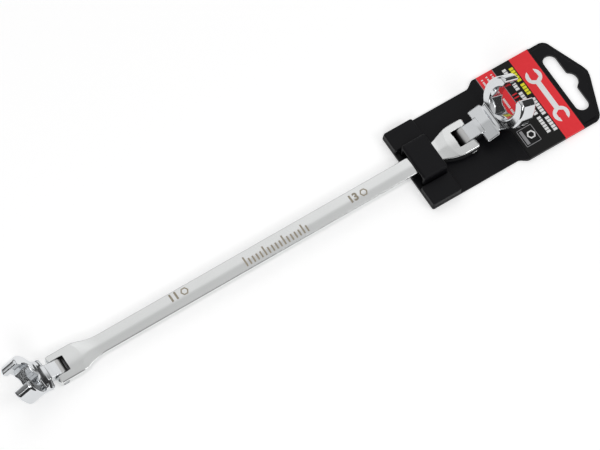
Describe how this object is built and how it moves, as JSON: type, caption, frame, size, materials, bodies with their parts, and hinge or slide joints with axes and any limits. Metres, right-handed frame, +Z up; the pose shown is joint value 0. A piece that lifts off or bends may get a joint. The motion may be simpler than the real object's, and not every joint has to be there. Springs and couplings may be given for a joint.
{
  "type": "flexible-head flare-nut wrench on a hanger",
  "caption": "Extra-long double-ended flare-nut wrench with an open hexagonal ring hinged at each end, clipped on a black plastic retail hanger with a printed label.",
  "frame": {"origin": "under the centre of the bounding box of the whole object, on the floor", "axes": "+X along the wrench towards the 13 mm head and the hanger's roof-shaped end, +Z up, +Y to the left when looking along +X"},
  "size_m": [0.3056, 0.047, 0.0263],
  "materials": {
    "chrome_shaft": "satin polished",
    "chrome_head": "polished",
    "pin_steel": "plain",
    "black_plastic": "satin moulded",
    "label_film": "printed film"
  },
  "bodies": {
    "wrench": {"handle": "chrome_shaft", "pin_13": "pin_steel", "pin_11": "pin_steel", "washer_13_left": "pin_steel", "washer_13_right": "pin_steel", "washer_11_left": "pin_steel", "washer_11_right": "pin_steel"},
    "large_head": {"head_13": "chrome_head"},
    "small_head": {"head_11": "chrome_head"},
    "hanger": {"hanger_tray": "black_plastic", "hanger_label": "label_film"},
    "clip": {"hanger_clip": "black_plastic"}
  },
  "joints": [
    {"name": "head_13_hinge", "type": "hinge", "parent": "wrench", "child": "large_head", "pos_m": [0.08457, 0, 0.00491], "axis": [0, -1, 0], "range_deg": [0, 72]},
    {"name": "head_11_hinge", "type": "hinge", "parent": "wrench", "child": "small_head", "pos_m": [-0.12853, 0, 0.00357], "axis": [0, 1, 0], "range_deg": [-95, 68]},
    {"name": "hanger_release", "type": "slide", "parent": "wrench", "child": "hanger", "axis": [0, 0, -1], "range_m": [0, 0.03]},
    {"name": "clip_release", "type": "slide", "parent": "wrench", "child": "clip", "axis": [0, 0, 1], "range_m": [0, 0.02]}
  ]
}
